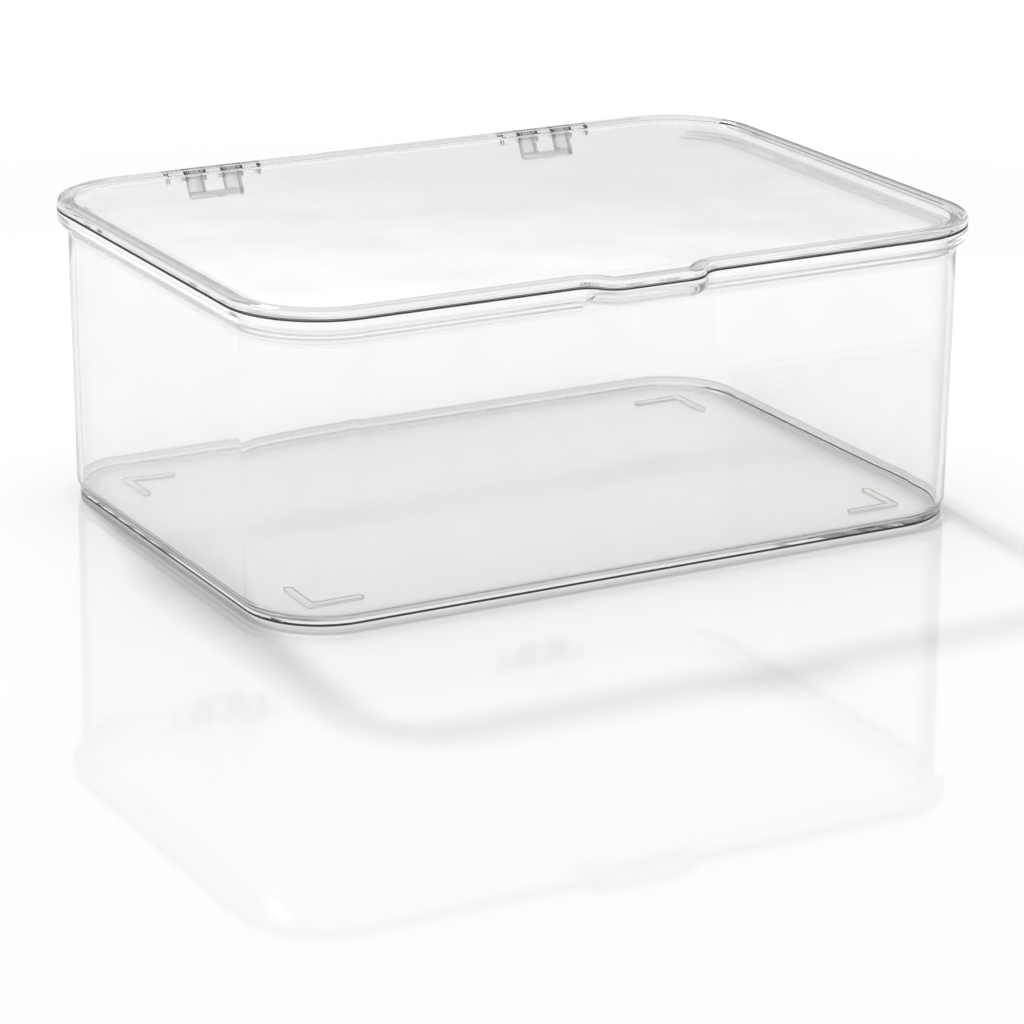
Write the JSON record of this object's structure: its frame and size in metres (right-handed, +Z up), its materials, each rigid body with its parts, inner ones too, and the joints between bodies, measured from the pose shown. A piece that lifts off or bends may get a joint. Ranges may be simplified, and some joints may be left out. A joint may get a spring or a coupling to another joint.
{
  "type": "makeup organizer",
  "caption": "Clear rectangular makeup bin with rounded corners, a rolled rim with a finger tab, and a flat recessed lid that swings on knuckle hinges along the back.",
  "frame": {"origin": "on the table under the middle of the whole outline, seen from above, with the front finger tab and the hinge heels included", "axes": "+X along the front to the right, +Y from the front with its finger tab to the hinges at the back, +Z up"},
  "size_m": [0.27, 0.2062, 0.1047],
  "materials": {
    "clear_plastic": "clear injection-moulded plastic, polished, with a faint grey tint",
    "clear_pin_plastic": "clear drawn plastic rod, polished"
  },
  "bodies": {
    "tub": {"tub": "clear_plastic", "left_hinge_pin": "clear_pin_plastic", "right_hinge_pin": "clear_pin_plastic"},
    "lid": {"lid": "clear_plastic"}
  },
  "joints": [
    {"name": "lid_hinge", "type": "hinge", "parent": "tub", "child": "lid", "pos_m": [0, 0.09865, 0.1003], "axis": [-1, 0, 0], "range_deg": [0, 105]}
  ]
}
